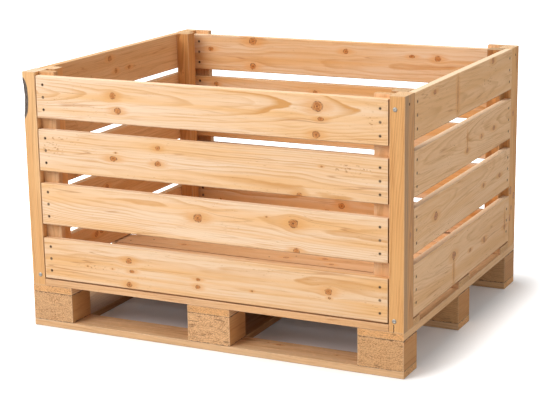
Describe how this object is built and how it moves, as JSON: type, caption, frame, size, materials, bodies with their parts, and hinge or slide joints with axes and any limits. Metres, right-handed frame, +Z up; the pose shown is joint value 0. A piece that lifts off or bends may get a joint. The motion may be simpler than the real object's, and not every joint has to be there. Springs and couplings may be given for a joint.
{
  "type": "wooden pallet box",
  "caption": "Open-topped slatted timber box on a four-way entry block pallet, with corner posts, for bulk goods, stacking and forklift handling.",
  "frame": {"origin": "on the floor, under the middle of the box", "axes": "+X along the long front to the right, +Y to the rear, +Z up"},
  "size_m": [1.2, 1.0068, 0.779],
  "materials": {
    "panel_slats": "planed raw pine",
    "posts_and_battens": "sawn raw pine",
    "deck_boards": "sawn raw pine",
    "blocks": "sawn raw softwood",
    "runners_and_stringers": "sawn raw pine",
    "steel_fasteners": "zinc plated"
  },
  "bodies": {
    "root": {"base_board_left_front": "runners_and_stringers", "base_board_left_rear": "runners_and_stringers", "base_board_middle_front": "runners_and_stringers", "base_board_middle_rear": "runners_and_stringers", "batten_front_left": "posts_and_battens", "batten_front_right": "posts_and_battens", "batten_rear_left": "posts_and_battens", "batten_rear_right": "posts_and_battens", "block_front_left": "blocks", "block_front_middle": "blocks", "block_front_right": "blocks", "block_middle_left": "blocks", "block_middle_middle": "blocks", "block_middle_right": "blocks", "block_rear_left": "blocks", "block_rear_middle": "blocks", "block_rear_right": "blocks", "deck_board_front": "deck_boards", "deck_board_middle": "deck_boards", "deck_board_rear": "deck_boards", "floor_board_front_1": "deck_boards", "floor_board_front_2": "deck_boards", "floor_board_rear_1": "deck_boards", "floor_board_rear_2": "deck_boards", "post_front_left": "posts_and_battens", "post_front_right": "posts_and_battens", "post_rear_left": "posts_and_battens", "post_rear_right": "posts_and_battens", "post_screw_front_left_foot": "steel_fasteners", "post_screw_front_right_foot": "steel_fasteners", "post_screw_front_right_top": "steel_fasteners", "post_screw_rear_right_foot": "steel_fasteners", "runner_front": "runners_and_stringers", "runner_middle": "runners_and_stringers", "runner_rear": "runners_and_stringers", "slat_front_1": "panel_slats", "slat_front_2": "panel_slats", "slat_front_3": "panel_slats", "slat_front_4": "panel_slats", "slat_left_1": "panel_slats", "slat_left_2": "panel_slats", "slat_left_3": "panel_slats", "slat_left_4": "panel_slats", "slat_left_5": "panel_slats", "slat_rear_1": "panel_slats", "slat_rear_2": "panel_slats", "slat_rear_3": "panel_slats", "slat_rear_4": "panel_slats", "slat_rear_5": "panel_slats", "slat_right_1": "panel_slats", "slat_right_2": "panel_slats", "slat_right_3": "panel_slats", "slat_right_4": "panel_slats", "stringer_left": "runners_and_stringers", "stringer_middle": "runners_and_stringers", "stringer_right": "runners_and_stringers", "stud_front_left": "posts_and_battens", "stud_front_right": "posts_and_battens", "stud_rear_left": "posts_and_battens", "stud_rear_right": "posts_and_battens"}
  },
  "joints": []
}
